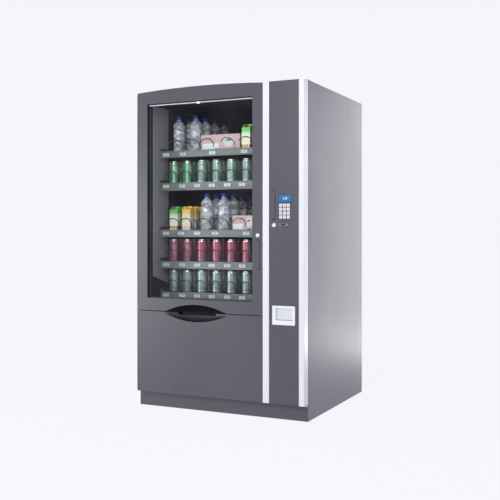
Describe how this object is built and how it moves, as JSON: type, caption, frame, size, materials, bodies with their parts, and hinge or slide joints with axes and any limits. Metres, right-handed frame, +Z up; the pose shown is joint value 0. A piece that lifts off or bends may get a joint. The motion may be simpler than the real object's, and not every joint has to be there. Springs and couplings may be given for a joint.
{
  "type": "soda can vending machine",
  "caption": "Free-standing glass-front vending machine with spiral trays, hinged glass door, tilting delivery flap and hinged payment column.",
  "frame": {"origin": "on the floor, under the middle of the machine's bounding box", "axes": "+Z up, +X to the right seen from the front, the front faces -Y"},
  "size_m": [1.06, 0.982, 1.8386],
  "materials": {
    "front_paint": "satin anthracite powder coat",
    "side_paint": "satin mid-grey powder coat",
    "liner_white": "dark moulded liner",
    "black_plastic": "fine texture",
    "black_steel": "semi-gloss black",
    "zinc_steel": "zinc plated",
    "zinc_wire": "drawn wire, plated",
    "grey_plastic": "moulded",
    "clear_rail": "tinted clear extrusion",
    "aluminium_fins": "mill finish",
    "window_glass": "clear double glazing",
    "gasket_rubber": "matt",
    "lamp_white": "opal",
    "lock_chrome": "polished",
    "bright_strip": "satin silver-white",
    "display_blue": "backlit",
    "silver_plastic": "satin silver",
    "key_silver": "satin silver",
    "tray_steel": "satin grey"
  },
  "bodies": {
    "cabinet": {"outer_shell": "side_paint", "inner_liner": "liner_white", "back_panel": "side_paint", "power_inlet": "black_plastic", "base_frame": "black_steel", "levelling_feet": "zinc_steel", "kick_plate": "front_paint", "duct_panel": "grey_plastic", "tray_1": "tray_steel", "tray_2": "tray_steel", "tray_3": "tray_steel", "tray_4": "tray_steel", "tray_5": "tray_steel", "price_rails": "clear_rail", "lane_spirals": "zinc_wire", "spiral_motors": "black_plastic", "compressor": "black_steel", "condenser": "aluminium_fins", "evaporator": "aluminium_fins", "coin_mechanism": "black_plastic", "cash_box": "zinc_steel", "door_hinges": "zinc_steel"},
    "condenser_fan": {"condenser_fan": "black_plastic"},
    "sold_out_spiral_1": {"sold_out_spiral_1": "zinc_wire"},
    "sold_out_spiral_2": {"sold_out_spiral_2": "zinc_wire"},
    "sold_out_spiral_3": {"sold_out_spiral_3": "zinc_wire"},
    "sold_out_spiral_4": {"sold_out_spiral_4": "zinc_wire"},
    "sold_out_spiral_5": {"sold_out_spiral_5": "zinc_wire"},
    "glass_door": {"door_frame": "front_paint", "door_liner": "grey_plastic", "door_glass": "window_glass", "door_gasket": "gasket_rubber", "light_tube": "lamp_white", "delivery_bin": "black_plastic"},
    "delivery_flap": {"delivery_flap": "front_paint"},
    "door_lock": {"door_lock": "lock_chrome"},
    "door_handle": {"door_handle": "front_paint"},
    "payment_door": {"column_panel": "front_paint", "centre_strip": "bright_strip", "corner_strip": "bright_strip", "display": "display_blue", "keypad_frame": "front_paint", "coin_plate": "lock_chrome", "coin_cup": "silver_plastic"},
    "coin_return_button": {"coin_return_button": "lock_chrome"},
    "coin_flap": {"coin_flap": "silver_plastic"},
    "column_lock": {"column_lock": "lock_chrome"},
    "column_handle": {"column_handle": "front_paint"},
    "key_1": {"key_1": "key_silver"},
    "key_2": {"key_2": "key_silver"},
    "key_3": {"key_3": "key_silver"},
    "key_4": {"key_4": "key_silver"},
    "key_5": {"key_5": "key_silver"},
    "key_6": {"key_6": "key_silver"},
    "key_7": {"key_7": "key_silver"},
    "key_8": {"key_8": "key_silver"},
    "key_9": {"key_9": "key_silver"},
    "key_clear": {"key_clear": "key_silver"},
    "key_0": {"key_0": "key_silver"},
    "key_enter": {"key_enter": "key_silver"}
  },
  "joints": [
    {"name": "condenser_fan_spin", "type": "hinge", "parent": "cabinet", "child": "condenser_fan", "pos_m": [-0.12, -0.279, 0.19], "axis": [0, 1, 0], "continuous": true},
    {"name": "spiral_1_turn", "type": "hinge", "parent": "cabinet", "child": "sold_out_spiral_1", "pos_m": [0.184, 0, 1.5295], "axis": [0, 1, 0], "continuous": true},
    {"name": "spiral_2_turn", "type": "hinge", "parent": "cabinet", "child": "sold_out_spiral_2", "pos_m": [0.184, 0, 1.3415], "axis": [0, 1, 0], "continuous": true},
    {"name": "spiral_3_turn", "type": "hinge", "parent": "cabinet", "child": "sold_out_spiral_3", "pos_m": [0.184, 0, 1.0625], "axis": [0, 1, 0], "continuous": true},
    {"name": "spiral_4_turn", "type": "hinge", "parent": "cabinet", "child": "sold_out_spiral_4", "pos_m": [0.184, 0, 0.8765], "axis": [0, 1, 0], "continuous": true},
    {"name": "spiral_5_turn", "type": "hinge", "parent": "cabinet", "child": "sold_out_spiral_5", "pos_m": [0.184, 0, 0.6955], "axis": [0, 1, 0], "continuous": true},
    {"name": "glass_door_swing", "type": "hinge", "parent": "cabinet", "child": "glass_door", "pos_m": [-0.521, -0.443, 0.9], "axis": [0, 0, -1], "range_deg": [0, 105]},
    {"name": "delivery_flap_tilt", "type": "hinge", "parent": "glass_door", "child": "delivery_flap", "pos_m": [-0.12, -0.47, 0.108], "axis": [1, 0, 0], "range_deg": [0, 35]},
    {"name": "door_lock_turn", "type": "hinge", "parent": "glass_door", "child": "door_lock", "pos_m": [0.259, -0.487, 1], "axis": [0, 1, 0], "range_deg": [0, 90]},
    {"name": "door_handle_lift", "type": "hinge", "parent": "glass_door", "child": "door_handle", "pos_m": [0.259, -0.484, 0.97], "axis": [-1, 0, 0], "range_deg": [0, 30]},
    {"name": "payment_door_swing", "type": "hinge", "parent": "cabinet", "child": "payment_door", "pos_m": [0.523, -0.443, 0.9], "axis": [0, 0, 1], "range_deg": [0, 100]},
    {"name": "column_lock_turn", "type": "hinge", "parent": "payment_door", "child": "column_lock", "pos_m": [0.356, -0.487, 1.055], "axis": [0, 1, 0], "range_deg": [0, 90]},
    {"name": "column_handle_lift", "type": "hinge", "parent": "payment_door", "child": "column_handle", "pos_m": [0.35, -0.484, 1.088], "axis": [1, 0, 0], "range_deg": [0, 30]},
    {"name": "coin_flap_swing", "type": "hinge", "parent": "payment_door", "child": "coin_flap", "pos_m": [0.415, -0.483, 0.605], "axis": [1, 0, 0], "range_deg": [0, 35]},
    {"name": "coin_return_press", "type": "slide", "parent": "payment_door", "child": "coin_return_button", "axis": [0, 1, 0], "range_m": [0, 0.003], "stiffness_N_per_m": 300},
    {"name": "key_1_press", "type": "slide", "parent": "payment_door", "child": "key_1", "axis": [0, 1, 0], "range_m": [0, 0.002], "stiffness_N_per_m": 300},
    {"name": "key_2_press", "type": "slide", "parent": "payment_door", "child": "key_2", "axis": [0, 1, 0], "range_m": [0, 0.002], "stiffness_N_per_m": 300},
    {"name": "key_3_press", "type": "slide", "parent": "payment_door", "child": "key_3", "axis": [0, 1, 0], "range_m": [0, 0.002], "stiffness_N_per_m": 300},
    {"name": "key_4_press", "type": "slide", "parent": "payment_door", "child": "key_4", "axis": [0, 1, 0], "range_m": [0, 0.002], "stiffness_N_per_m": 300},
    {"name": "key_5_press", "type": "slide", "parent": "payment_door", "child": "key_5", "axis": [0, 1, 0], "range_m": [0, 0.002], "stiffness_N_per_m": 300},
    {"name": "key_6_press", "type": "slide", "parent": "payment_door", "child": "key_6", "axis": [0, 1, 0], "range_m": [0, 0.002], "stiffness_N_per_m": 300},
    {"name": "key_7_press", "type": "slide", "parent": "payment_door", "child": "key_7", "axis": [0, 1, 0], "range_m": [0, 0.002], "stiffness_N_per_m": 300},
    {"name": "key_8_press", "type": "slide", "parent": "payment_door", "child": "key_8", "axis": [0, 1, 0], "range_m": [0, 0.002], "stiffness_N_per_m": 300},
    {"name": "key_9_press", "type": "slide", "parent": "payment_door", "child": "key_9", "axis": [0, 1, 0], "range_m": [0, 0.002], "stiffness_N_per_m": 300},
    {"name": "key_clear_press", "type": "slide", "parent": "payment_door", "child": "key_clear", "axis": [0, 1, 0], "range_m": [0, 0.002], "stiffness_N_per_m": 300},
    {"name": "key_0_press", "type": "slide", "parent": "payment_door", "child": "key_0", "axis": [0, 1, 0], "range_m": [0, 0.002], "stiffness_N_per_m": 300},
    {"name": "key_enter_press", "type": "slide", "parent": "payment_door", "child": "key_enter", "axis": [0, 1, 0], "range_m": [0, 0.002], "stiffness_N_per_m": 300}
  ]
}
